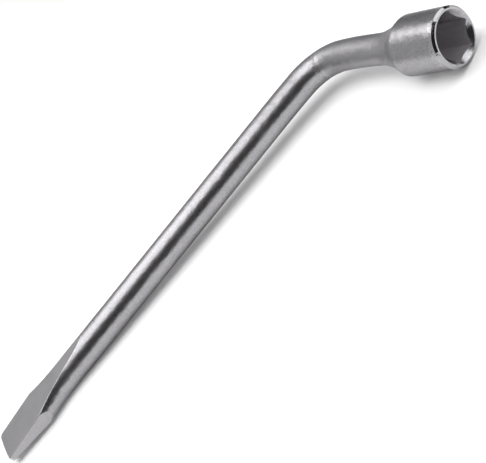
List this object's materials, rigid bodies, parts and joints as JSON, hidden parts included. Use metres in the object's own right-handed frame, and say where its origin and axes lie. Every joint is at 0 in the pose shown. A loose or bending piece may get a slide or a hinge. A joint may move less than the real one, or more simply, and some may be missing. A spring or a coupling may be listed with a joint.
{
  "type": "lug wrench",
  "caption": "L-shaped wheel-nut wrench: hex socket on a bent neck, long round handle, flat pry blade for hubcaps.",
  "frame": {"origin": "centre of the socket mouth, on its end face", "axes": "+X out of the mouth along the socket axis; the neck, bend and handle lie in the XY plane with the blade towards -Y; +Z square to that plane"},
  "size_m": [0.2254, 0.2526, 0.03],
  "materials": {
    "satin_chrome": "satin plating, polished mouth chamfer, ground blade flats",
    "plated_weld": "dressed flush and plated over"
  },
  "bodies": {
    "root": {"socket_head": "satin_chrome", "weld_ring": "plated_weld", "handle_bar": "satin_chrome"}
  },
  "joints": []
}
